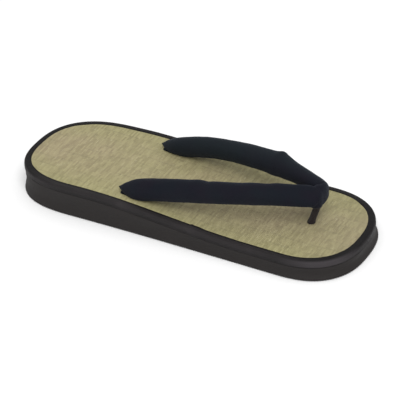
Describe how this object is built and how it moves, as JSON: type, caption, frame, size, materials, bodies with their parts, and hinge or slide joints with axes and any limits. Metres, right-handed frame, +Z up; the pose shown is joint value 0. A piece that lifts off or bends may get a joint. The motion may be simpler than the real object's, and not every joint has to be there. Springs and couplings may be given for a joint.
{
  "type": "zori sandal",
  "caption": "Flat zori sandal with a foam wedge sole, a rush insole bound in black tape, padded V-shaped straps and a toe post.",
  "frame": {"origin": "on the floor, below the middle of the bounding box", "axes": "+X towards the toe, +Y to the wearer's left, +Z up"},
  "size_m": [0.261, 0.0914, 0.0473],
  "materials": {
    "sole_foam": "matt charcoal foam",
    "rush_mat": "woven straw-coloured rush with a dull sheen",
    "binding_tape": "black woven cloth tape",
    "strap_velvet": "blue-black velvet, padded",
    "post_cord": "dark brown cloth-covered cord"
  },
  "bodies": {
    "root": {"sole": "sole_foam", "insole": "rush_mat", "binding": "binding_tape", "straps": "strap_velvet", "toe_post": "post_cord"}
  },
  "joints": []
}
